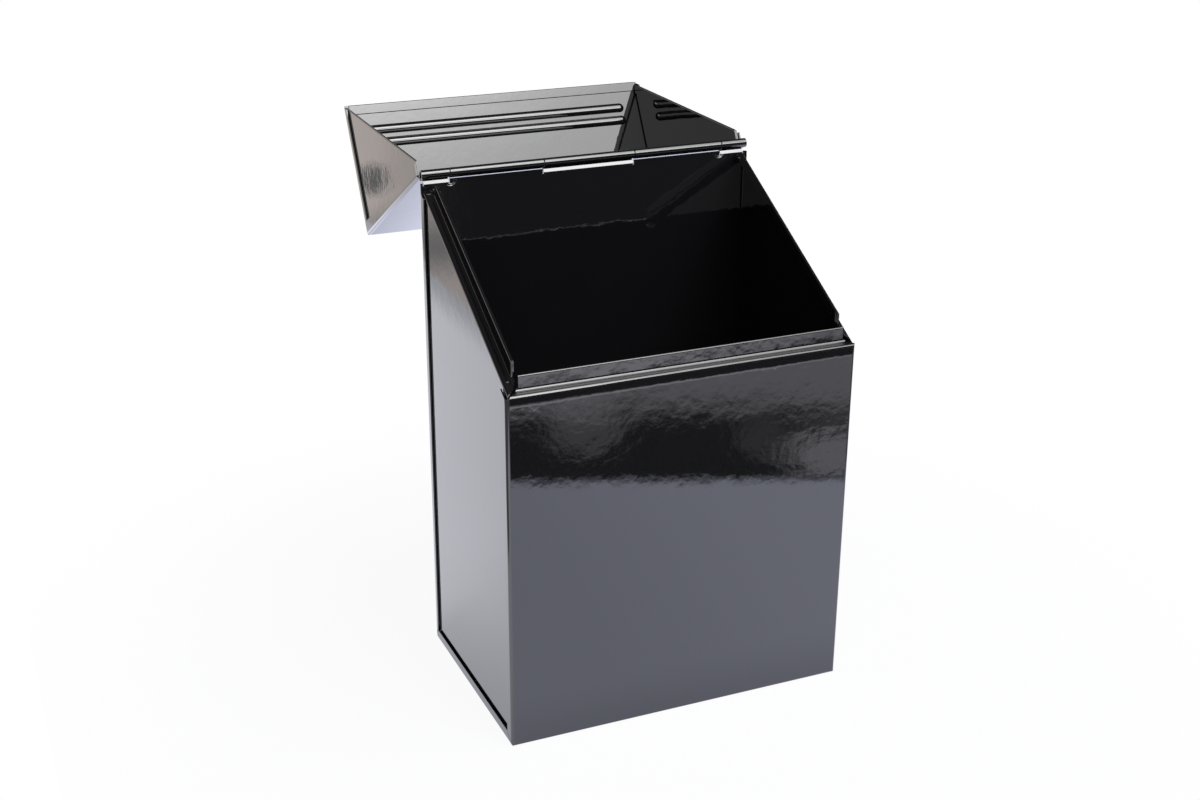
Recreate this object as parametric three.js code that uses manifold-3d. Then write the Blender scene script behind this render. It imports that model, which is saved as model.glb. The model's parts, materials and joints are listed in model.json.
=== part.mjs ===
// Kindling box of folded sheet steel. Closed, it is a plain upright box; the corner above a sloping cut
// is the lid, which swings up and over backwards on a full-width rolled hinge. It is shown wide open.
// Millimetres, +Z up, front towards -Y, origin at the centre of the underside.

import * as THREE from 'three';
import { mergeVertices } from 'three/addons/utils/BufferGeometryUtils.js';
import Module from 'manifold-3d';

const wasm = await Module();
wasm.setup();

// Box
const width = 150.4; // over the folded edges
const depth = 96.9; // front face to back face
const frontHeight = 151.7; // underside to the ledge along the front
const sideStep = 0.5; // how much higher the sloping ledges of the sides start
const axisHeight = 214.2; // underside to the hinge axis
const ledgeDrop = 5; // from the hinge axis down to the back end of the sloping ledges
const openAngle = 209; // how far the lid has turned from shut

// Sheet and folds
const sheet = 0.6;
const lap = 0.3; // clearance between lapped sheets
const edgeGap = 1; // how far a lapped sheet stops short of the fold it lies in
const foldRadius = 1.5; // outside radius of the folded edges
const hemDepth = 4; // width of the edges that are folded back flat

// Ledge and neck, on which the shut lid sits
const frontLedge = 4.4; // from the front face to the neck
const sideLedge = 4.6; // from the folded edges' outer face to the side necks
const rimOffset = 1.5; // how far the front's ledge and neck lie right of the middle
const ledgeRadius = 1.2; // outside radius between wall and ledge
const neckBend = 1.3; // inside radius between ledge and neck
const neckFront = 6.3; // height of the neck along the front
const neckSideFront = 7.7; // height of the side necks above the slope at their front end
const neckSideBack = 5.8; // and at the hinge
const neckEnd = 6.4; // from the front face to the front ends of the side necks
const neckCorner = 5.2; // from the sides to the ends of the front neck
const neckHingeEnd = 6.4; // from the hinge axis to the back ends of the side necks

// Folded strips that lap over the side panels
const frontStripTop = 5.8;
const frontStripFoot = 5.2;
const backStripTop = 4.8;
const backStripFoot = 3.3;
const baseStrip = 4.8;
const mitreGap = 0.25; // between two strips where they meet at a corner
const notchWidth = 1.6; // mouth of the notch at the bottom back corners

// Hinge
const pinRadius = 1.2;
const pinClearance = 0.2;
const pinInset = 0.5; // from the ends of the barrel to the ends of the pin
const barrelInset = 0.6; // from the sides to the ends of the barrel
const endKnuckle = 12.2; // length of the outermost knuckles, with three equal ones between them
const knuckleGap = 0.5;
const rollAngle = 280; // how far a tab is rolled round the pin
const tabKick = 45; // slant of the fold that takes a body tab out behind the pin
const tabKickTop = 2; // from the axis down to the top of that slant
const kickRadius = 1; // mid radius of the small bends in the tabs
const leafRun = 1; // from the axis to the slant of the lid's tabs
const lugWidth = 1.3; // upright corners of the back beside the outermost tabs
const lugDrop = 3.5; // from the axis down to the tops of these corners
const lugGap = 0.4;
const lidEdgeGap = 1.6; // from the barrel to the lid's edge where the body's knuckles are

// Lid
const lidTopStrip = 6.2;
const lidFrontStrip = 4;
const rimHem = 4.5; // hem along the rim of the lid's front
const cheekClip = 4.2; // from the hinge axis to the cut-off back edge of the cheeks
const ribWidth = 4.6;
const ribHeight = 1.2;
const ribFromRim = 12.6; // from the rim to the first rib
const ribPitch = 6.3;
const ribCount = 2;
const ribMargin = 9.5; // from the sides to the ends of the ribs

const arcStep = Math.PI / 18;
const over = 1; // how far a cutting solid runs past what it cuts

const half = width / 2;
const frontY = -depth / 2;
const backY = depth / 2;
const axisY = backY - sheet / 2;
const slopeFoot = frontHeight + sideStep;
const slope = (axisHeight - ledgeDrop - slopeFoot) / depth;
const slopeAngle = Math.atan(slope);
const panelFace = half - sheet - lap; // outer face of the side panels and cheeks
const neckFace = half - sideLedge;
const knuckleRadius = pinRadius + pinClearance + sheet;
const rollRadius = knuckleRadius - sheet / 2; // to the middle of the sheet
const degrees = THREE.MathUtils.degToRad;

const X = new THREE.Vector3(1, 0, 0);
const Y = new THREE.Vector3(0, 1, 0);
const Z = new THREE.Vector3(0, 0, 1);

// Height of the sloping ledges at y, with the box's own zero
const ledgeAt = (y) => slopeFoot + slope * (y - frontY);

// ---- solids ----

function toSolid(geometry) {
  geometry.deleteAttribute('normal');
  geometry.deleteAttribute('uv');
  const merged = mergeVertices(geometry, 1e-4);
  const corners = merged.index.array;
  const triVerts = [];
  for (let i = 0; i < corners.length; i += 3) {
    const [a, b, c] = corners.slice(i, i + 3);
    if (a !== b && b !== c && c !== a) triVerts.push(a, b, c);
  }
  const vertProperties = new Float32Array(merged.attributes.position.array);
  const made = new wasm.Mesh({ numProp: 3, vertProperties, triVerts: new Uint32Array(triVerts) });
  return new wasm.Manifold(made);
}

// A closed outline of [a, b] points, extruded along right x up from the origin. Rounding puts faces that
// are meant to lie in one plane exactly there.
function prism(outline, length, right, up, origin) {
  const shape = new THREE.Shape(outline.map(([a, b]) => new THREE.Vector2(a, b)));
  const geometry = new THREE.ExtrudeGeometry(shape, { depth: length, bevelEnabled: false });
  const along = new THREE.Vector3().crossVectors(right, up);
  geometry.applyMatrix4(new THREE.Matrix4().makeBasis(right, up, along).setPosition(origin));
  const positions = geometry.attributes.position.array;
  positions.forEach((value, i) => {
    positions[i] = Math.round(value * 1e4) / 1e4;
  });
  return toSolid(geometry);
}

// Outline in y and z, running from x = from to x = to
const alongX = (outline, from, to) => prism(outline, to - from, Y, Z, new THREE.Vector3(from, 0, 0));

// Outline in x and z, running from y = from to y = to
const alongY = (outline, from, to) => prism(outline, to - from, X, Z, new THREE.Vector3(0, to, 0));

// Outline in x and y, running from z = from to z = to
const alongZ = (outline, from, to) => prism(outline, to - from, X, Y, new THREE.Vector3(0, 0, from));

// Outline in x and height over a line that climbs backwards at an angle from the point (0, y, z)
function alongSlope(outline, angle, y, z) {
  const up = new THREE.Vector3(0, -Math.sin(angle), Math.cos(angle));
  const run = new THREE.Vector3(0, Math.cos(angle), Math.sin(angle));
  const length = 2 * depth;
  const start = new THREE.Vector3(0, y, z).addScaledVector(run, length * 0.75);
  return prism(outline, length, X, up, start);
}

const rectangle = (a0, b0, a1, b1) => [[a0, b0], [a1, b0], [a1, b1], [a0, b1]];

// ---- outlines ----

function arc(centreA, centreB, radius, from, to) {
  const steps = Math.max(1, Math.ceil(Math.abs(to - from) / arcStep - 1e-6));
  return Array.from({ length: steps + 1 }, (_, k) => {
    const angle = from + ((to - from) * k) / steps;
    return [centreA + radius * Math.cos(angle), centreB + radius * Math.sin(angle)];
  });
}

// The corner at here, rounded by its radius here[2]; shift moves it to the left of the path
function corner(before, here, after, shift) {
  const into = new THREE.Vector2(here[0] - before[0], here[1] - before[1]).normalize();
  const out = new THREE.Vector2(after[0] - here[0], after[1] - here[1]).normalize();
  const turn = Math.atan2(into.x * out.y - into.y * out.x, into.dot(out));
  const radius = here[2] ?? 0;
  const side = Math.sign(turn);
  if (radius === 0 || side === 0) return [[here[0] - shift * into.y, here[1] + shift * into.x]];
  const back = radius * Math.tan(Math.abs(turn) / 2);
  const centreA = here[0] - back * into.x - radius * side * into.y;
  const centreB = here[1] - back * into.y + radius * side * into.x;
  const start = Math.atan2(-side * into.x, side * into.y);
  return arc(centreA, centreB, radius - shift * side, start, start + turn);
}

// A closed outline of [a, b, radius] corners
function rounded(corners) {
  const at = (i) => corners[(i + corners.length) % corners.length];
  return corners.flatMap((here, i) => corner(at(i - 1), here, at(i + 1), 0));
}

// A sheet seen from its edge: its middle runs along the path, bending by the radius at each corner,
// and may then be rolled round a centre
function strip(path, rolled) {
  const edge = (shift) => {
    const points = path.flatMap((here, i) => {
      if (rolled && i === path.length - 1) return [];
      const before = path[i - 1] ?? [2 * here[0] - path[i + 1][0], 2 * here[1] - path[i + 1][1]];
      const after = path[i + 1] ?? [2 * here[0] - path[i - 1][0], 2 * here[1] - path[i - 1][1]];
      return corner(before, here, after, shift);
    });
    if (!rolled) return points;
    const { centre, radius, from, to } = rolled;
    return [...points, ...arc(...centre, radius - Math.sign(to - from) * shift, from, to)];
  };
  return [...edge(sheet / 2), ...edge(-sheet / 2).reverse()];
}

// A folded edge seen from its end: two sheets thick, round at b1, between a and a + 2 sheets
const hem = (a, b0, b1) => {
  const round = b1 + Math.sign(b0 - b1) * sheet;
  const turn = Math.sign(b1 - b0) * Math.PI;
  return [[a, b0], ...arc(a + sheet, round, sheet, Math.PI, Math.PI - turn), [a + 2 * sheet, b0]];
};

// ---- folded boxes ----

// A block with round upright edges and a round bottom or top, inset from the outer faces
function block(y0, y1, z0, z1, inset, roundZ) {
  const radius = foldRadius - inset;
  const [a, b] = [inset - half, half - inset];
  const [yFront, yBack] = [y0 + inset, y1 - inset];
  const low = roundZ < 0 ? z0 + inset : z0;
  const high = roundZ > 0 ? z1 - inset : z1;
  const [foot, head] = roundZ < 0 ? [radius, 0] : [0, radius];
  const upright = rounded([
    [a, yFront, radius],
    [b, yFront, radius],
    [b, yBack, radius],
    [a, yBack, radius],
  ]);
  const profile = (from, to) =>
    rounded([
      [from, low, foot],
      [to, low, foot],
      [to, high, head],
      [from, high, head],
    ]);
  return alongZ(upright, low, high)
    .intersect(alongY(profile(a, b), yFront, yBack))
    .intersect(alongX(profile(yFront, yBack), a, b));
}

// ---- hinge ----

// The five knuckles along x; the body has the first, third and fifth, the lid has the others
const barrelEnd = half - barrelInset;
const innerKnuckle = (2 * (barrelEnd - endKnuckle)) / 3;
const splits = [0, 1, 2, 3].map((i) => endKnuckle - barrelEnd + i * innerKnuckle);
const knuckles = [-barrelEnd, ...splits].map((from, i) => {
  const to = splits[i] ?? barrelEnd;
  return { from, to, body: i % 2 === 0 };
});
const bodyKnuckles = knuckles.filter((knuckle) => knuckle.body);
const lidKnuckles = knuckles.filter((knuckle) => !knuckle.body);

// Extrudes an outline over a knuckle's length, less half a gap where it meets another knuckle
function overKnuckle(outline, { from, to }) {
  const start = from > -barrelEnd ? from + knuckleGap / 2 : from;
  const end = to < barrelEnd ? to - knuckleGap / 2 : to;
  return alongX(outline, start, end);
}

// When the lid is fully open, the slant of its tabs lies flat on the edge of the back between the body's tabs
const leafSlant = degrees(openAngle - 180);
const leafReach = leafRun * Math.sin(leafSlant) + rollRadius * Math.cos(leafSlant) + sheet / 2;
const slotEdge = axisHeight - leafReach - lap;

const kickHeight = rollRadius / Math.tan(degrees(tabKick));
const kickFoot = axisHeight - tabKickTop - kickHeight;

function bodyTab(knuckle) {
  const behind = axisY + rollRadius;
  const path = [
    [axisY, kickFoot - 3],
    [axisY, kickFoot, kickRadius],
    [behind, kickFoot + kickHeight, kickRadius],
    [behind, axisHeight],
  ];
  const rolled = { centre: [axisY, axisHeight], radius: rollRadius, from: 0, to: degrees(rollAngle) };
  const clearOfLugs = half - lugWidth - lugGap;
  const tab = rectangle(axisY - over, 0, behind + over, lugTop + over);
  const roll = rectangle(axisY - depth, lugTop + over, axisY + depth, axisHeight + depth);
  const room = alongX(tab, -clearOfLugs, clearOfLugs).add(alongX(roll, -half, half));
  return overKnuckle(strip(path, rolled), knuckle).intersect(room);
}

// In the lid's own frame, with the hinge axis at zero and the lid shut
const leafFoot = -leafRun - rollRadius / Math.tan(leafSlant);

function lidTab(knuckle) {
  const path = [
    [leafFoot - 3, 0],
    [leafFoot, 0, kickRadius],
    [-leafRun, rollRadius, kickRadius],
    [0, rollRadius],
  ];
  const top = Math.PI / 2;
  const rolled = { centre: [0, 0], radius: rollRadius, from: top, to: top - degrees(rollAngle) };
  return overKnuckle(strip(path, rolled), knuckle);
}

function hingePin() {
  const end = barrelEnd - pinInset;
  const chamfer = pinRadius / 4;
  const profile = [
    [0, -end],
    [pinRadius - chamfer, -end],
    [pinRadius, -end + chamfer],
    [pinRadius, end - chamfer],
    [pinRadius - chamfer, end],
    [0, end],
  ];
  const geometry = new THREE.LatheGeometry(profile.map(([a, b]) => new THREE.Vector2(a, b)), 36);
  geometry.rotateZ(-Math.PI / 2);
  geometry.translate(0, axisY, axisHeight);
  return toSolid(geometry);
}

// ---- body ----

const wallTop = kickFoot - 1; // the back is one plain sheet up to here
const lugTop = axisHeight - lugDrop;

function bodyWrap() {
  const tall = axisHeight + over;
  const outer = block(frontY, backY, 0, tall, 0, -1);
  const shell = outer.subtract(block(frontY, backY, 0, tall + over, sheet, -1));

  // The strips end below the slope, the front below its fold and the back below the hinge tabs
  const stripTop = (y) => ledgeAt(y) - foldRadius;
  const aboveWalls = alongX(
    [
      [frontY - over, stripTop(frontY)],
      [frontY + foldRadius, stripTop(frontY)],
      [backY - foldRadius, stripTop(backY - foldRadius)],
      [backY - foldRadius, lugTop],
      [backY + over, lugTop],
      [backY + over, tall + 2 * over],
      [frontY - over, tall + 2 * over],
    ],
    -half - over,
    half + over,
  );
  const panelWindow = alongX(
    [
      [frontY + frontStripFoot, baseStrip],
      [backY - backStripFoot, baseStrip],
      [backY - backStripTop, axisHeight],
      [frontY + frontStripTop, axisHeight],
      [frontY + frontStripTop, frontHeight],
    ],
    -half - over,
    half + over,
  );

  const lugInner = half - lugWidth;
  const tabRoom = rectangle(axisY - over, wallTop, backY + over, axisHeight);
  const betweenLugs = alongX(tabRoom, -lugInner, lugInner);

  let wrap = shell.subtract(aboveWalls).subtract(panelWindow).subtract(betweenLugs);
  wrap = wrap.add(frontRim());
  for (const knuckle of lidKnuckles) wrap = wrap.add(slotEdgeStrip(knuckle));
  for (const knuckle of bodyKnuckles) wrap = wrap.add(bodyTab(knuckle));
  for (const side of [-1, 1]) wrap = wrap.subtract(cornerMitres(side));
  return wrap;
}

// The front's top: folded in to a ledge, then up to a hemmed neck
function frontRim() {
  const top = frontHeight + neckFront;
  const middle = frontY + frontLedge + sheet / 2;
  const fold = strip([
    [frontY + sheet / 2, frontHeight - ledgeRadius - sheet],
    [frontY + sheet / 2, frontHeight - sheet / 2, ledgeRadius - sheet / 2],
    [middle, frontHeight - sheet / 2, neckBend + sheet / 2],
    [middle, top - hemDepth / 2],
  ]);
  const neckHem = hem(frontY + frontLedge, top - hemDepth, top);
  const rim = alongX(fold, -half, half).add(alongX(neckHem, -half, half));
  const inner = frontLedge + 2 * sheet;
  const plan = [
    [half, frontY],
    [half, frontY + rimOffset],
    [half - inner + rimOffset, frontY + inner],
    [inner + rimOffset - half, frontY + inner],
    [rimOffset - half, frontY],
  ];
  const outer = block(frontY, backY, 0, axisHeight, 0, -1);
  const neckRoom = rectangle(frontY - over, frontHeight + neckBend, frontY + 2 * frontLedge, axisHeight);
  const beyondNeck = (from, to) => alongX(neckRoom, from, to);
  return rim
    .intersect(alongZ(plan, 0, axisHeight))
    .intersect(outer)
    .subtract(beyondNeck(-half - over, neckCorner + rimOffset - half))
    .subtract(beyondNeck(half - neckCorner + rimOffset, half + over));
}

// The back between the body's tabs runs up to the edge that the open lid's tabs rest on, with a slit
// beside each of the body's tabs
function slotEdgeStrip({ from, to }) {
  const edge = rectangle(axisY - sheet / 2, wallTop - 1, axisY + sheet / 2, slotEdge);
  return alongX(edge, from + knuckleGap / 2, to - knuckleGap / 2);
}

// Strips meet at the bottom corners: a closed mitre at the front, an open notch at the back
function cornerMitres(side) {
  const [a, b] = [side * (half - foldRadius), side * (half + over)].sort((p, q) => p - q);
  const slit = (outerY, innerY, mouth) => {
    const way = Math.sign(innerY - outerY);
    return alongX(
      [
        [outerY - way * (over - mouth / 2), -over],
        [innerY + (way * mitreGap) / 2, baseStrip],
        [innerY + (way * mitreGap) / 2, baseStrip + mitreGap],
        [innerY - (way * mitreGap) / 2, baseStrip + mitreGap],
        [outerY - way * over, -over + mouth / 2],
      ],
      a,
      b,
    );
  };
  return slit(frontY, frontY + frontStripFoot, mitreGap).add(slit(backY, backY - backStripFoot, notchWidth));
}

// A side panel lies inside the folded strips; its sloping edge is folded in to a ledge, then up to a neck
function sidePanel(side) {
  const x = (value) => side * value;
  const between = (p, q) => [x(p), x(q)].sort((m, n) => m - n);
  const yFront = frontY + sheet + edgeGap;
  const yBack = backY - sheet - edgeGap;
  const zLow = sheet + edgeGap;
  const shoulder = ledgeRadius / Math.cos(slopeAngle);
  const flat = alongX(
    rounded([
      [yFront, zLow, foldRadius],
      [yBack, zLow, foldRadius],
      [yBack, ledgeAt(yBack) - shoulder],
      [yFront, ledgeAt(yFront) - shoulder],
    ]),
    ...between(panelFace - sheet, panelFace),
  );

  const neckMiddle = neckFace - sheet / 2;
  const fold = strip([
    [x(panelFace - sheet / 2), -ledgeRadius - 1],
    [x(panelFace - sheet / 2), -sheet / 2, ledgeRadius - sheet / 2],
    [x(neckMiddle), -sheet / 2, neckBend + sheet / 2],
    [x(neckMiddle), neckBend + 1],
  ]);
  const shelf = alongSlope(fold, slopeAngle, frontY, slopeFoot);

  // The neck's top climbs a little less steeply than the ledge
  const topFront = slopeFoot + neckSideFront;
  const topBack = axisHeight - ledgeDrop + neckSideBack;
  const neckAngle = Math.atan((topBack - topFront) / depth);
  const inner = neckFace - 2 * sheet;
  const neckHem = hem(Math.min(x(inner), x(neckFace)), -hemDepth, 0);
  const foldedTop = alongSlope(neckHem, neckAngle, frontY, topFront);
  const [webLow, webHigh] = between(neckFace - sheet, neckFace);
  const web = alongSlope(
    rectangle(webLow, -3 * hemDepth, webHigh, -sheet),
    neckAngle,
    frontY,
    topFront,
  );
  const underLedge = alongSlope(
    rectangle(-half, -3 * hemDepth - depth, half, neckBend / 2),
    slopeAngle,
    frontY,
    slopeFoot,
  );
  const neckRoom = alongX(
    rectangle(frontY + neckEnd, 0, axisY - neckHingeEnd, axisHeight + over),
    -half,
    half,
  );
  const neck = foldedTop.add(web).subtract(underLedge).intersect(neckRoom);
  const foldEnd = alongSlope(rectangle(-half, -depth, half, neckBend), slopeAngle, frontY, slopeFoot);
  const keptShelf = shelf.intersect(foldEnd).add(shelf.intersect(neckRoom));

  // Mitred against the front's ledge, and short of the back
  const mitre = frontY + lap + side * rimOffset;
  const reach = 2 * sideLedge;
  const plan = [
    [x(half), mitre],
    [x(half), yBack],
    [x(half - reach), yBack],
    [x(half - reach), mitre + reach],
  ];
  const underFront = frontHeight - sheet - lap;
  const inside = alongX(rectangle(frontY + sheet + lap, 0, yBack, axisHeight), -half, half);
  const below = alongX(rectangle(frontY, 0, backY, underFront), -half, half);
  const room = alongZ(plan, underFront, axisHeight).add(below);
  return flat.add(keptShelf).add(neck).intersect(room).intersect(inside);
}

// ---- lid, in its own frame: hinge axis at zero, lid shut ----

const lidFront = frontY - axisY;
const rim = frontHeight + lap - axisHeight;
const cheekFoot = slopeFoot + lap - axisHeight;
const lidLedgeAt = (y) => cheekFoot + slope * (y - lidFront);

function lidShell() {
  const top = sheet / 2;
  const outer = block(lidFront, depth, rim, top, 0, 1);
  const inner = block(lidFront, depth + 2 * over, rim - over, top, sheet, 1);
  const lidEdge = -knuckleRadius - lidEdgeGap;
  const behind = alongX(rectangle(lidEdge, rim - over, depth + over, top + over), -width, width);
  const panelWindow = alongX(
    rectangle(lidFront + lidFrontStrip, rim - over, depth, top - lidTopStrip),
    -half - over,
    half + over,
  );
  let shell = outer.subtract(inner).subtract(behind).subtract(panelWindow);

  // The front's strips end above the sloping ledges
  const underStrips = [
    [lidFront + sheet, rim - over],
    [lidFront + 2 * lidFrontStrip, rim - over],
    [lidFront + 2 * lidFrontStrip, lidLedgeAt(lidFront + 2 * lidFrontStrip)],
    [lidFront + sheet, lidLedgeAt(lidFront + sheet)],
  ];
  shell = shell.subtract(alongX(underStrips, half - foldRadius, half + over));
  shell = shell.subtract(alongX(underStrips, -half - over, foldRadius - half));

  const rimEnd = panelFace - 2 * sheet - lap;
  const rimRoom = rectangle(lidFront - over, rim - over, lidFront + over, rim + sheet);
  shell = shell.subtract(alongX(rimRoom, -rimEnd, rimEnd));
  shell = shell.add(alongX(hem(lidFront, rim + rimHem, rim), -rimEnd, rimEnd));
  for (let i = 0; i < ribCount; i += 1) shell = pressRib(shell, rim + ribFromRim + i * ribPitch);
  for (const { from, to } of lidKnuckles) {
    shell = shell.subtract(alongX(rectangle(leafFoot - over, -over, depth, 2 * over), from, to));
  }
  for (const knuckle of lidKnuckles) shell = shell.add(lidTab(knuckle));
  return shell;
}

// A long round-ended rib, pressed in from outside at height z
function pressRib(shell, z) {
  const radius = (ribWidth ** 2 / 4 + ribHeight ** 2) / (2 * ribHeight);
  const centreY = lidFront + sheet + ribHeight - radius;
  const reach = half - ribMargin - ribWidth / 2;
  const capsule = (r) => {
    const profile = [...arc(0, -reach, r, -Math.PI / 2, 0), ...arc(0, reach, r, 0, Math.PI / 2)];
    const points = profile.map(([a, b]) => new THREE.Vector2(Math.max(a, 0), b));
    points[0].x = 0;
    points[points.length - 1].x = 0;
    const geometry = new THREE.LatheGeometry(points, 64);
    geometry.rotateZ(-Math.PI / 2);
    geometry.translate(0, centreY, z);
    return toSolid(geometry);
  };
  const inside = alongX(
    rectangle(lidFront + sheet / 2, z - 2 * ribWidth, lidFront + 3 * radius, z + 2 * ribWidth),
    -half,
    half,
  );
  return shell.add(capsule(radius).intersect(inside)).subtract(capsule(radius - sheet));
}

function lidCheek(side) {
  const x = (value) => side * value;
  const between = (p, q) => [x(p), x(q)].sort((m, n) => m - n);
  const front = lidFront + sheet + edgeGap;
  const top = -sheet / 2 - edgeGap;
  const shoulder = (2 * sheet) / Math.cos(slopeAngle);
  const flat = alongX(
    [
      [front, lidLedgeAt(front) + shoulder],
      [-cheekClip, lidLedgeAt(-cheekClip) + shoulder],
      [-cheekClip, top],
      [front, top],
    ],
    ...between(panelFace - sheet, panelFace),
  );
  const inner = Math.min(x(panelFace - 2 * sheet), x(panelFace));
  const edge = alongSlope(hem(inner, hemDepth, 0), slopeAngle, lidFront, cheekFoot);
  const room = alongX(rectangle(front, rim - over, -cheekClip, top), -half, half);
  return flat.add(edge.intersect(room));
}

// ---- the model ----

const enamel = (roughness) => new THREE.MeshStandardMaterial({ color: 0x16171a, roughness, metalness: 0 });
const bareSteel = new THREE.MeshStandardMaterial({ color: 0x8c8d8f, roughness: 0.35, metalness: 1 });

function mesh(name, solid, material) {
  const { numProp, vertProperties, triVerts } = solid.getMesh();
  const positions = new Float32Array((vertProperties.length / numProp) * 3);
  for (let i = 0; i < positions.length; i += 1) {
    positions[i] = vertProperties[Math.floor(i / 3) * numProp + (i % 3)];
  }
  const geometry = new THREE.BufferGeometry();
  geometry.setAttribute('position', new THREE.BufferAttribute(positions, 3));
  geometry.setIndex(new THREE.BufferAttribute(triVerts, 1));
  geometry.computeVertexNormals();
  const made = new THREE.Mesh(geometry, material);
  made.name = name;
  return made;
}

const body = new THREE.Group();
body.add(mesh('body_wrap', bodyWrap(), enamel(0.08)));
body.add(mesh('left_side_panel', sidePanel(-1), enamel(0.08)));
body.add(mesh('right_side_panel', sidePanel(1), enamel(0.08)));
body.add(mesh('hinge_pin', hingePin(), bareSteel));

const lid = new THREE.Group();
lid.add(mesh('lid_shell', lidShell(), enamel(0.08)));
lid.add(mesh('lid_left_cheek', lidCheek(-1), enamel(0.08)));
lid.add(mesh('lid_right_cheek', lidCheek(1), enamel(0.08)));
lid.position.set(0, axisY, axisHeight);
lid.rotation.x = -degrees(openAngle);

const kindlingBox = new THREE.Group();
kindlingBox.add(body, lid);

export default kindlingBox;
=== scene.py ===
import bpy, json, math
from mathutils import Matrix, Vector

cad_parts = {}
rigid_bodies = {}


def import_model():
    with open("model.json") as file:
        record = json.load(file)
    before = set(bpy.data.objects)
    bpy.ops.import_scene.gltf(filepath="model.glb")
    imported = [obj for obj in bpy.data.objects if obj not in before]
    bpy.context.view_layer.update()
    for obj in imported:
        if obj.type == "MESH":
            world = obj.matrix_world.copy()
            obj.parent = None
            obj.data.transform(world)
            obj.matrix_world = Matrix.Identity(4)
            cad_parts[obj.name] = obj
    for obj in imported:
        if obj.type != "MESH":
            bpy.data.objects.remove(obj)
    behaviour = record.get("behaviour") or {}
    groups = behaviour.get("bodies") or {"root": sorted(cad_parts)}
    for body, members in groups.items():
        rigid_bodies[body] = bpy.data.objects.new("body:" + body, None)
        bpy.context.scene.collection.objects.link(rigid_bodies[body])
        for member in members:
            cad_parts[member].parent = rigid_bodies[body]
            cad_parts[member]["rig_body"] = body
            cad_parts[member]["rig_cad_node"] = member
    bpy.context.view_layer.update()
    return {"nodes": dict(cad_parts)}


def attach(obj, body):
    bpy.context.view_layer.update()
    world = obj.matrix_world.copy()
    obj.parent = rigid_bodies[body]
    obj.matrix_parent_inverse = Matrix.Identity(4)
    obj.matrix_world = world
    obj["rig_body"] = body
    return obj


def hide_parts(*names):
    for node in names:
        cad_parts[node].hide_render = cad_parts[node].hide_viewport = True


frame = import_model()
scene = bpy.context.scene
scene.view_settings.view_transform = "Standard"


def direction(azimuth, elevation):  # in degrees from the front and from level
    turn, lift = math.radians(azimuth), math.radians(elevation)
    return Vector((math.sin(turn) * math.cos(lift), -math.cos(turn) * math.cos(lift), math.sin(lift)))


# place in metres and angles in degrees, found from the edges of the box in the photograph
cameraSettings = {
    "place": (-0.26629, -0.56515, 0.36753),
    "azimuth": -21.66,
    "elevation": 21.61,
    "roll": -0.573,
    "lens": 48.06,
    "shift": (0.049, 0.003),
    "nearest": 0.01,
}


def makeCamera(view):
    turn, roll = math.radians(view["azimuth"]), math.radians(view["roll"])
    back = direction(view["azimuth"], view["elevation"])
    across = Vector((math.cos(turn), math.sin(turn), 0))
    upright = back.cross(across)
    right = across * math.cos(roll) + upright * math.sin(roll)
    up = upright * math.cos(roll) - across * math.sin(roll)
    data = bpy.data.cameras.new("camera")
    data.lens = view["lens"]
    data.shift_x, data.shift_y = view["shift"]
    data.clip_start = view["nearest"]
    camera = bpy.data.objects.new("camera", data)
    scene.collection.objects.link(camera)
    axes = Matrix((right, up, back)).transposed().to_4x4()
    camera.matrix_world = Matrix.Translation(view["place"]) @ axes
    scene.camera = camera


makeCamera(cameraSettings)
print("camera set")


class Wire:  # wraps a socket, so that an expression on it adds Math nodes
    def __init__(self, tree, socket):
        self.tree, self.socket = tree, socket

    def __add__(self, other):
        return self.tree.maths("ADD", self, other)

    def __sub__(self, other):
        return self.tree.maths("SUBTRACT", self, other)

    def __mul__(self, other):
        return self.tree.maths("MULTIPLY", self, other)

    def __truediv__(self, other):
        return self.tree.maths("DIVIDE", self, other)

    def __pow__(self, other):
        return self.tree.maths("POWER", self, other)

    def __rsub__(self, other):
        return self.tree.maths("SUBTRACT", other, self)

    def __rtruediv__(self, other):
        return self.tree.maths("DIVIDE", other, self)

    def __neg__(self):
        return 0.0 - self

    __radd__ = __add__
    __rmul__ = __mul__

    def absolute(self):
        return self.tree.maths("ABSOLUTE", self)

    def most(self, other):
        return self.tree.maths("MAXIMUM", self, other)

    def ramp(self, low, high, start=0.0, end=1.0):  # start below low, end above high, and smooth between them
        values = {"Value": self, "From Min": low, "From Max": high, "To Min": start, "To Max": end}
        return self.tree.node("ShaderNodeMapRange", {"interpolation_type": "SMOOTHSTEP"}, values)

    def window(self, begins, full, fades, ends):  # 1 from full to fades, and 0 outside
        return self.ramp(begins, full) * self.ramp(fades, ends, 1.0, 0.0)


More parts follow.
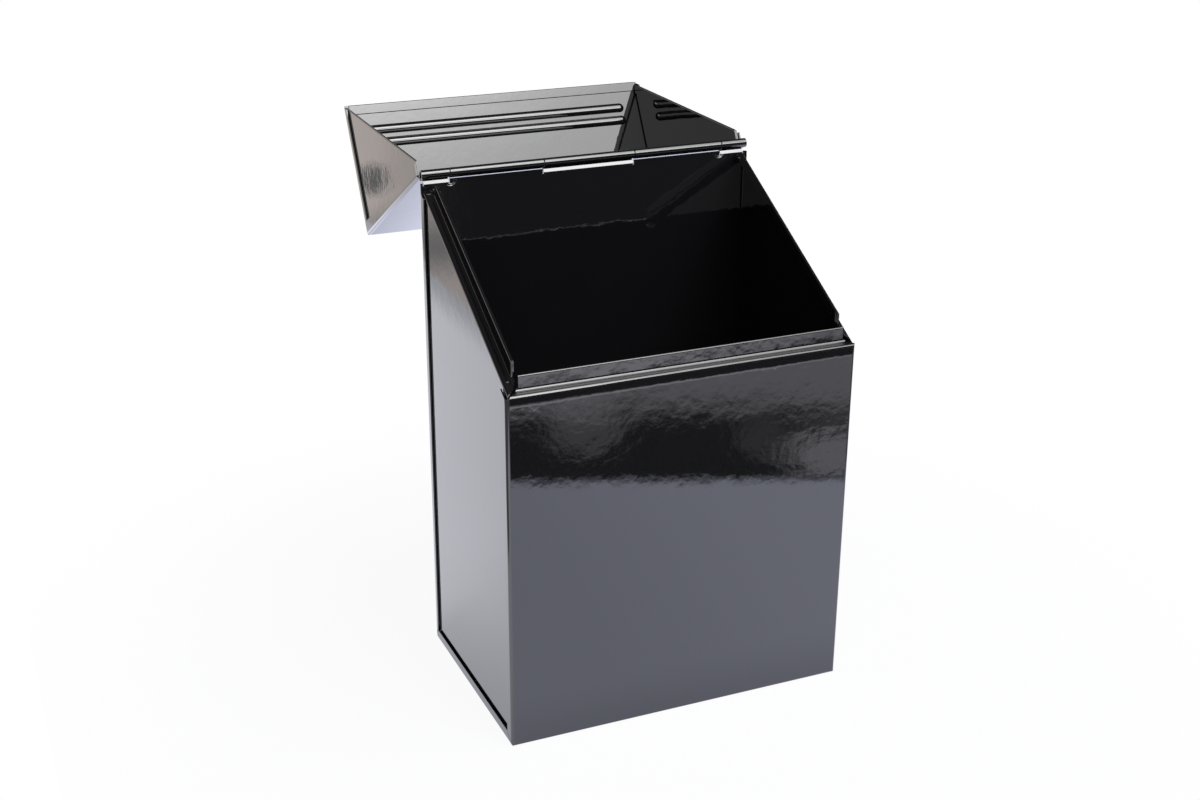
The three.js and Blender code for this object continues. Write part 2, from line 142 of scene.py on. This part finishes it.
class Tree:
    def __init__(self, owner):
        owner.use_nodes = True
        self.links, self.nodes = owner.node_tree.links, owner.node_tree.nodes
        self.nodes.clear()

    # type, settings, and the values or links of the sockets by name or in order
    def node(self, kind, settings=None, values=(), output=0):
        made = self.nodes.new(kind)
        for name, value in (settings or {}).items():
            setattr(made, name, value)
        for name, value in values.items() if isinstance(values, dict) else enumerate(values):
            if isinstance(value, Wire):
                self.links.new(value.socket, made.inputs[name])
            else:
                made.inputs[name].default_value = value
        return Wire(self, made.outputs[output]) if len(made.outputs) else None

    def maths(self, operation, *values):
        return self.node("ShaderNodeMath", {"operation": operation}, values)

    def place(self):
        return self.node("ShaderNodeTexCoord", output="Object")

    def split(self, vector):
        parts = self.node("ShaderNodeSeparateXYZ", None, [vector])
        return [Wire(self, output) for output in parts.socket.node.outputs]

    def noise(self, vector, size, detail, roughness):  # size of one lump in metres
        values = {"Vector": vector, "Scale": 1 / size, "Detail": detail, "Roughness": roughness}
        return self.node("ShaderNodeTexNoise", None, values, "Fac")

    def patches(self, vector, size, detail, roughness, edge, inside):  # 1 where the noise is over inside
        return self.noise(vector, size, detail, roughness).ramp(edge, inside)

    def mixColour(self, share, first, second):
        return self.node("ShaderNodeMix", {"data_type": "RGBA"}, {0: share, 6: first, 7: second}, 2)

    def mixVector(self, share, first, second):
        return self.node("ShaderNodeMix", {"data_type": "VECTOR"}, {0: share, 4: first, 5: second}, 1)

    def brighten(self, colour, brightness):
        values = {"Vector": colour, "Scale": brightness}
        return self.node("ShaderNodeVectorMath", {"operation": "SCALE"}, values)

    def lightPath(self, output):
        return self.node("ShaderNodeLightPath", output=output)


# sizes and depths in metres
enamelSettings = {
    "black": (0.0075, 0.0075, 0.0085, 1),
    "dusty": (0.03, 0.03, 0.032, 1),
    "ior": 1.95,
    "roughness": 0.03,
    # unevenness of the fired coat: size, detail and roughness of each noise
    "peel": (0.0022, 1.5, 0.45),
    "swell": (0.0075, 1.5, 0.45),
    "wave": (0.07, 1.0, 0.3),
    "peelDepth": 9.0e-6,
    "swellDepth": 3.2e-5,
    "waveDepth": 9e-5,
    # smudges are streaks where hands have been: noise as above, and its values at a patch's edge and inside
    "hands": (0.034, 4.0, 0.6, 0.52, 0.72),
    "streaks": (0.0016, 3.0, 0.7, 0.45, 0.8),
    "dust": (0.00035, 2.0, 0.5, 0.74, 0.8),
    "smudgeRoughness": 0.05,
    "dustRoughness": 0.1,
    "smudgeShade": 0.12,
    "dustShade": 0.5,
}

# what the coat of the body shows beyond its mesh, in metres and degrees; two numbers are where a mask
# begins and is full, and four are where it begins, is full, fades and ends
bodyRelief = {
    "backSheet": (0.0474, 0.0477),
    "frontSheet": (0.0466, 0.0484),
    # the front eases into its top fold
    "easeFrom": 0.1468,
    "ease": 9.0,
    # two shallow hollows under the outermost ends of the lid's knuckles, on both faces of the back
    "hollow": {"x": 0.0619, "z": 0.2113, "radius": 0.0022, "rim": 0.0013, "depth": 0.0009},
    # the tabs under the body's own knuckles shine as if their faces looked this many degrees above level,
    # which isn't their true slope; they are found by which way they face, by height, and by being clear of
    # the lid's knuckles
    "tabSlope": 24,
    "tabForward": (0.3, 0.4),
    "tabUpward": (0.1, 0.2),
    "tabHeights": (0.2096, 0.2099, 0.2126, 0.2129),
    "lidKnuckles": (0.0213, 0.0216, 0.0618, 0.0622),
    # the edge of the left slot shines like the upright wall below it
    "slotHeights": (0.2112, 0.2114, 0.2119, 0.2122),
    "leftSlot": (0.0208, 0.0212, 0.0618, 0.0622),
}


def makeEnamel(name, coat, relief=None):
    material = bpy.data.materials.new(name)
    tree = Tree(material)
    place = tree.place()
    peel, swell, wave = (tree.noise(place, *coat[kind]) for kind in ("peel", "swell", "wave"))
    height = peel * coat["peelDepth"] + swell * coat["swellDepth"] + wave * coat["waveDepth"]
    if relief:
        x, y, z = tree.split(place)
        inBack, inFront = y.ramp(*relief["backSheet"]), (-y).ramp(*relief["frontSheet"])
        hollow = relief["hollow"]
        fromMiddle = ((x.absolute() - hollow["x"]) ** 2 + (z - hollow["z"]) ** 2) ** 0.5
        low, high = hollow["radius"] - hollow["rim"] / 2, hollow["radius"] + hollow["rim"] / 2
        height = height - fromMiddle.ramp(low, high, hollow["depth"], 0.0) * inBack
        height = height - (z - relief["easeFrom"]).most(0.0) ** 2 * inFront * relief["ease"]
    normal = tree.node("ShaderNodeBump", None, {"Strength": 1.0, "Distance": 1.0, "Height": height})
    if relief:
        depth, upright = tree.split(tree.node("ShaderNodeNewGeometry", output="True Normal"))[1:]
        leaning = (-depth).ramp(*relief["tabForward"]) * upright.ramp(*relief["tabUpward"]) * inBack
        clear = 1.0 - x.absolute().window(*relief["lidKnuckles"])
        tabs = leaning * z.window(*relief["tabHeights"]) * clear
        slot = inBack * z.window(*relief["slotHeights"]) * (-x).window(*relief["leftSlot"])
        slope = math.radians(relief["tabSlope"])
        normal = tree.mixVector(tabs, normal, (0, -math.cos(slope), math.sin(slope)))
        normal = tree.mixVector(slot, normal, (0, -1, 0))
    smudge = tree.patches(place, *coat["hands"]) * tree.patches(place, *coat["streaks"])
    dust = tree.patches(place, *coat["dust"])
    shade = dust * coat["dustShade"] + smudge * coat["smudgeShade"]
    surface = tree.node("ShaderNodeBsdfPrincipled", None, {
        "Base Color": tree.mixColour(shade, coat["black"], coat["dusty"]),
        "Roughness": coat["roughness"] + smudge * coat["smudgeRoughness"] + dust * coat["dustRoughness"],
        "IOR": coat["ior"],
        "Normal": normal,
    })
    tree.node("ShaderNodeOutputMaterial", None, {"Surface": surface})
    return material


steelSettings = {
    "steel": (0.46, 0.455, 0.445, 1),
    "dull": (0.2, 0.19, 0.18, 1),
    "roughness": 0.3,
    "stretch": (0.05, 1.0, 1.0),  # the drawn lines run along the pin
    "lines": (0.0002, 3.0, 0.6),  # noises are given as for the enamel
    "lineDepth": 6e-6,
    "lineRoughness": 0.1,
    "stain": (0.0012, 3.0, 0.6, 0.45, 0.7),
    "stainRoughness": 0.15,
    "stainShade": 0.6,
}


def makeSteel(name, metal):
    material = bpy.data.materials.new(name)
    tree = Tree(material)
    place = tree.place()
    along = tree.node("ShaderNodeMapping", None, {"Vector": place, "Scale": metal["stretch"]})
    lines = tree.noise(along, *metal["lines"])
    stain = tree.patches(place, *metal["stain"])
    bump = {"Strength": 1.0, "Distance": 1.0, "Height": lines * metal["lineDepth"]}
    surface = tree.node("ShaderNodeBsdfPrincipled", None, {
        "Base Color": tree.mixColour(stain * metal["stainShade"], metal["steel"], metal["dull"]),
        "Metallic": 1.0,
        "Roughness": metal["roughness"] + lines * metal["lineRoughness"] + stain * metal["stainRoughness"],
        "Normal": tree.node("ShaderNodeBump", None, bump),
    })
    tree.node("ShaderNodeOutputMaterial", None, {"Surface": surface})
    return material


enamel = makeEnamel("black enamel", {**enamelSettings, "swellDepth": 1.8e-5})  # for the smoother sheets
bodyEnamel = makeEnamel("black enamel of the body", enamelSettings, bodyRelief)
steel = makeSteel("drawn steel", steelSettings)
print("finishes made")

# Each piece is a finished copy of its CAD node: the same shape, with its folds shaded round and its cut
# edges softened by the enamel, with distances in metres and angles in degrees
meshSettings = {"merge": 4e-6, "flat": 0.5, "sharp": 50, "rings": 2, "smooth": 33}
softEdge = 0.00024
pieceSettings = {
    "folded_body": {"node": "body_wrap", "body": "box", "finish": bodyEnamel, "edge": softEdge},
    "left_side": {"node": "left_side_panel", "body": "box", "finish": enamel, "edge": softEdge},
    "right_side": {"node": "right_side_panel", "body": "box", "finish": enamel, "edge": softEdge},
    "pin": {"node": "hinge_pin", "body": "box", "finish": steel, "edge": 0},
    "folded_lid": {"node": "lid_shell", "body": "lid", "finish": enamel, "edge": softEdge},
    "left_cheek": {"node": "lid_left_cheek", "body": "lid", "finish": enamel, "edge": softEdge},
    "right_cheek": {"node": "lid_right_cheek", "body": "lid", "finish": enamel, "edge": softEdge},
}


def finishPiece(name, part, mesh):
    node = frame["nodes"][part["node"]]
    piece = node.copy()
    piece.data = node.data.copy()
    piece.name = piece.data.name = name
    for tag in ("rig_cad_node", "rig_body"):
        del piece[tag]
    piece.parent = None
    scene.collection.objects.link(piece)
    bpy.ops.object.select_all(action="DESELECT")
    piece.select_set(True)
    bpy.context.view_layer.objects.active = piece
    bpy.ops.object.mode_set(mode="EDIT")
    bpy.ops.mesh.select_all(action="SELECT")
    bpy.ops.mesh.remove_doubles(threshold=mesh["merge"])
    bpy.ops.mesh.dissolve_limited(angle_limit=math.radians(mesh["flat"]))
    bpy.ops.object.mode_set(mode="OBJECT")
    if part["edge"]:
        bevel = piece.modifiers.new("edges", "BEVEL")
        bevel.width, bevel.segments = part["edge"], mesh["rings"]
        bevel.limit_method, bevel.angle_limit = "ANGLE", math.radians(mesh["sharp"])
        bpy.ops.object.modifier_apply(modifier=bevel.name)
    bpy.ops.object.shade_smooth_by_angle(angle=math.radians(mesh["smooth"]))
    weighted = piece.modifiers.new("weighted", "WEIGHTED_NORMAL")
    weighted.keep_sharp = True
    weighted.mode = "FACE_AREA_WITH_ANGLE"
    bpy.ops.object.modifier_apply(modifier=weighted.name)
    piece.data.materials.clear()
    piece.data.materials.append(part["finish"])
    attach(piece, part["body"])
    "pin_steel" if part["finish"] == steel else "black_enamel"
    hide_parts(part["node"])


for name, settings in pieceSettings.items():
    finishPiece(name, settings, meshSettings)
print("pieces finished")

# in metres; four numbers that aren't a colour are the two places that a change runs between, and its values
# at them
tableSettings = {
    "corners": [(-0.248, -0.395), (1.6, 0.304), (1.6, 1.9), (-0.248, 1.9)],
    "height": -2e-5,
    "paper": (0.84, 0.87, 0.92, 1),
    "grey": (0.8, 0.8, 0.8, 1),
    "grain": (0.02, 3.0, 0.5),
    "grainShare": 0.06,
    "plainWhite": (0.12, 0.34, 0.94, 1.0),  # share that the camera sees without shadow, by distance
    # the rest is painted light, the table's glow as the box mirrors it, where 1 is white: bluish, brighter
    # behind and beside the box, darker towards the front and left edges, with a painted shadow near the box
    "tint": (0.9, 0.93, 1.13, 1),
    "tintOnLeft": (0.07, 0.08, 1.0, 0.4),
    "level": 1.04,
    "back": (-0.05, 0.15, 0.0, 0.3),
    "farBack": (0.15, 0.4),
    "farBackByX": (-0.02, 0.06, 0.05, 1.15),
    "left": (0.07, 0.08),
    "leftByY": (0.0, 0.15, 0.17, 0.32),
    "right": (-0.03, 0.14, 0.0, 0.18),
    "halfBox": (0.075, 0.048),
    # painted shadow: near the box the mirrored table darkens to 0.78 of its brightness
    "fromBox": (-0.015, 0.04, 0.78, 1.0),
    "frontRim": (0.0, 0.014, 0.2, 1.0),
    "leftRim": (0.0, 0.03, 0.6, 1.0),
}


def makeTable(top):
    bpy.ops.object.select_all(action="DESELECT")
    bpy.ops.mesh.primitive_plane_add(size=1, location=(0, 0, 0))
    table = bpy.context.object
    table.name = table.data.name = "table"
    order = [0, 1, 3, 2]  # the plane's corners come in rows, and these go round
    for vertex, i in zip(table.data.vertices, order):
        vertex.co = (*top["corners"][i], top["height"])
    material = bpy.data.materials.new("white table")
    tree = Tree(material)
    place = tree.place()
    x, y = tree.split(place)[:2]
    direct = tree.lightPath("Is Camera Ray")
    mirrored = tree.lightPath("Is Glossy Ray").most(tree.lightPath("Is Transmission Ray"))
    grain = tree.noise(place, *top["grain"])
    shade = tree.mixColour(grain * top["grainShare"], top["paper"], top["grey"])
    paper = tree.node("ShaderNodeBsdfDiffuse", None, {"Color": shade})
    (x0, y0), (x1, y1) = top["corners"][:2]
    fromEdge = ((y - y0) * (x1 - x0) - (x - x0) * (y1 - y0)) / math.hypot(x1 - x0, y1 - y0)
    rim = fromEdge.ramp(*top["frontRim"]) * (x - x0).ramp(*top["leftRim"])
    halfWidth, halfDepth = top["halfBox"]
    fromBox = (x.absolute() - halfWidth).most(y.absolute() - halfDepth)
    behind = y.ramp(*top["back"]) + y.ramp(*top["farBack"]) * x.ramp(*top["farBackByX"])
    beside = (-x).ramp(*top["left"]) * y.ramp(*top["leftByY"]) + x.ramp(*top["right"])
    # painted light and shadow on the table as the box mirrors it
    lit = (behind + beside + top["level"]) * fromBox.ramp(*top["fromBox"]) * rim
    white = (1, 1, 1, 1)
    tint = tree.mixColour((-x).ramp(*top["tintOnLeft"]), white, top["tint"])
    colour = tree.mixColour(mirrored, white, tree.brighten(tint, lit))
    glow = tree.node("ShaderNodeEmission", None, {"Color": colour})
    fromMiddle = (x * x + y * y) ** 0.5
    share = direct * fromMiddle.ramp(*top["plainWhite"]) + mirrored
    surface = tree.node("ShaderNodeMixShader", None, [share, paper, glow])
    tree.node("ShaderNodeOutputMaterial", None, {"Surface": surface})
    table.data.materials.append(material)


# brightness of the room by direction, in degrees from the front and from level, where 1 is white; four
# numbers that aren't a colour are the two angles that a change runs between, and its values at them
roomSettings = {
    "above": (0.05, 0.05, 0.053, 1),
    "below": (0.3, 0.3, 0.315, 1),
    "horizon": (-8.0, 2.0),
    # the dark front of the room, with a slanted band, a slanted line and glows in it
    "front": {"azimuth": 27, "sides": (7.5, 15.0, 1.0, 0.0), "top": (24.0, 34.0, 1.0, 0.0)},
    "dark": 0.03,
    "blue": 1.1,  # the blue in the front's light, against its red and green
    "band": {"azimuth": 22.4, "elevation": -20.55, "slant": 0.03, "fade": (0.555, 2.1275, 0.6, 0.0)},
    "line": {"azimuth": 22.4, "elevation": -21.45, "slant": 0.17},
    "lineHeights": (0.0, 0.3, 1.2, 1.8),  # where it begins, is full, fades and ends
    "lineBrightness": 0.55,
    # patches of light: azimuth, elevation, half width, half height and brightness
    "glows": [(23.3, -22.5, 1.8, 1.2, 0.26), (33.4, -23.2, 2.5, 1.1, 0.68), (30.2, -22.8, 1.3, 0.7, 0.12)],
    "fill": (-32, 40, 24, 24, 1.5),
    "core": (24, 58, 22, 15, 5.0),
    "edge": (28, 31.5, 12, 4.5, 5.0),
    "softness": (0.45, 1.25, 1.0, 0.0),  # of a patch, by distance in half widths
    # the warm wall behind on the left, with a dark spot that is given as a patch without its brightness
    "warm": (1.2, 1.08, 1.02, 1),
    "wallSide": (120.0, 135.0),
    "wallTop": (8.0, 30.0, 1.0, 0.0),
    "wallAbove": (-15.95, -14.0, 0.22, 1.02),
    "wallBelow": (-17.4, -16.0, 0.7, 0.0),
    "wallAcross": (-165.2, -163.0, 1.15, 0.8),
    "spot": (-164.35, -13.5, 0.55, 0.62),
}


def makeRoom(room):
    world = bpy.data.worlds.new("room")
    scene.world = world
    tree = Tree(world)
    x, y, z = tree.split(tree.node("ShaderNodeTexCoord", output="Generated"))
    azimuth = tree.maths("ARCTAN2", x, -y) * math.degrees(1)
    elevation = tree.maths("ARCSINE", z) * math.degrees(1)

    def glow(a, e, width, height):
        away = (((azimuth - a) / width) ** 2 + ((elevation - e) / height) ** 2) ** 0.5
        return away.ramp(*room["softness"])

    def lit(shade, a, e, width, height, brightness):
        return tree.mixColour(glow(a, e, width, height), shade, (brightness, brightness, brightness, 1))

    def above(stripe):
        return elevation - (azimuth - stripe["azimuth"]) * stripe["slant"] - stripe["elevation"]

    front, band, line = room["front"], room["band"], room["line"]
    level = above(band).absolute().ramp(*band["fade"]) + room["dark"]
    level = level + above(line).window(*room["lineHeights"]) * room["lineBrightness"]
    for *where, brightness in room["glows"]:
        level = level + glow(*where) * brightness
    frontShade = tree.node("ShaderNodeCombineColor", None, [level, level, level * room["blue"]])
    shade = tree.mixColour(elevation.ramp(*room["horizon"]), room["below"], room["above"])
    for name in ("fill", "core"):
        shade = lit(shade, *room[name])
    inFront = (azimuth - front["azimuth"]).absolute().ramp(*front["sides"]) * elevation.ramp(*front["top"])
    shade = tree.mixColour(inFront, shade, frontShade)
    shade = lit(shade, *room["edge"])
    wall = (-azimuth).ramp(*room["wallSide"]) * elevation.ramp(*room["wallTop"])
    warmth = elevation.ramp(*room["wallAbove"]) + elevation.ramp(*room["wallBelow"])
    warmth = warmth * azimuth.ramp(*room["wallAcross"]) * (1.0 - glow(*room["spot"]))
    shade = tree.mixColour(wall * warmth, shade, room["warm"])
    around = tree.node("ShaderNodeBackground", None, {"Color": shade})
    white = tree.node("ShaderNodeBackground", None, {"Color": (1, 1, 1, 1)})
    surface = tree.node("ShaderNodeMixShader", None, [tree.lightPath("Is Camera Ray"), around, white])
    tree.node("ShaderNodeOutputWorld", None, {"Surface": surface})


# brightness is the lamp's own, where 1 is the white of the background
softboxSettings = {
    "azimuth": 35,
    "elevation": 53.6,
    "away": 1.1,
    "aim": (0, 0, 0.1),
    "size": (1.0, 0.98),
    "brightness": 3.2,
}


def makeSoftbox(lamp):
    data = bpy.data.lights.new("softbox", "AREA")
    data.shape = "RECTANGLE"
    width, height = lamp["size"]
    data.size, data.size_y = width, height
    data.energy = lamp["brightness"] * math.pi * width * height
    softbox = bpy.data.objects.new("softbox", data)
    scene.collection.objects.link(softbox)
    towards = direction(lamp["azimuth"], lamp["elevation"])
    softbox.location = towards * lamp["away"] + Vector(lamp["aim"])
    softbox.rotation_mode = "QUATERNION"
    softbox.rotation_quaternion = towards.to_track_quat("Z", "Y")


makeTable(tableSettings)
makeRoom(roomSettings)
makeSoftbox(softboxSettings)
print("table, room and softbox made")
